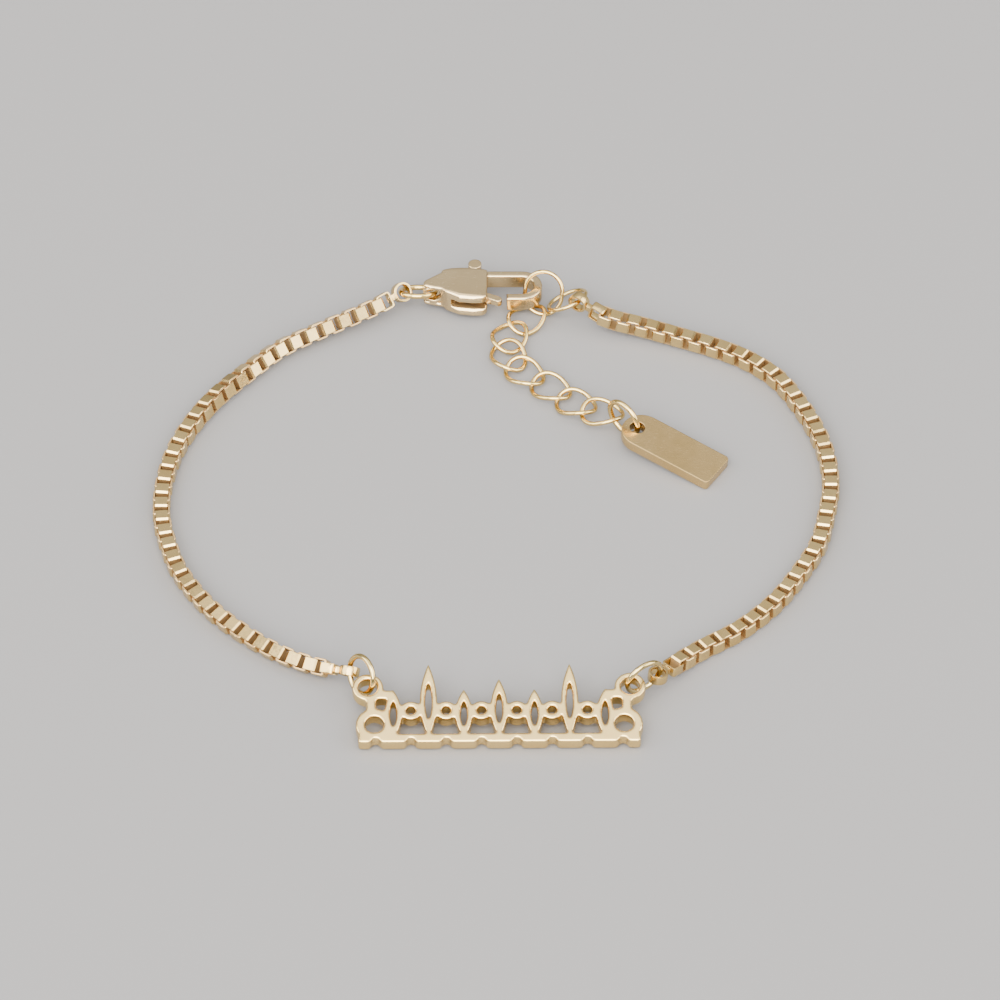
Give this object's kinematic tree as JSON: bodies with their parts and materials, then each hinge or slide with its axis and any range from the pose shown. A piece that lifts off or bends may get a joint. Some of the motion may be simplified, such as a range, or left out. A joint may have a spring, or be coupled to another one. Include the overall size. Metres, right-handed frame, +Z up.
{
  "type": "nameplate bracelet",
  "caption": "Fine box chain bracelet with an openwork ornamental plate at the front, a lobster clasp and a short curb-link extender ending in a plain rectangular tag.",
  "frame": {"origin": "on the surface the bracelet lies on, below the middle of its outline", "axes": "+X to the wearer's right as seen from the plate's side with the plate at the front, +Y from the plate to the clasp, +Z up"},
  "size_m": [0.0554, 0.054, 0.004],
  "materials": {
    "gold": "polished pale gold plating",
    "plate_gold": "soft polished pale gold plating",
    "satin_gold": "satin pale gold plating"
  },
  "bodies": {
    "bracelet": {"nameplate": "plate_gold", "plate_ring_left": "gold", "plate_ring_right": "gold", "chain_end_left_front": "gold", "chain_end_left_back": "gold", "chain_end_right_front": "gold", "chain_end_right_back": "gold", "box_chain_left": "gold", "box_chain_right": "gold", "clasp_ring": "gold", "clasp_body": "satin_gold", "hook_ring": "gold", "chain_ring": "gold", "extender_link_1": "gold", "extender_link_2": "gold", "extender_link_3": "gold", "extender_link_4": "gold", "extender_link_5": "gold", "extender_link_6": "gold", "extender_link_7": "gold", "tag_ring": "gold", "tag": "satin_gold"},
    "lever": {"clasp_lever": "satin_gold"}
  },
  "joints": [
    {"name": "lever_hinge", "type": "hinge", "parent": "bracelet", "child": "lever", "pos_m": [-0.00273, 0.02397, 0.00155], "axis": [0, 0, 1], "range_deg": [0, 25], "stiffness_Nm_per_rad": 0.002, "springref_deg": -20.05}
  ]
}
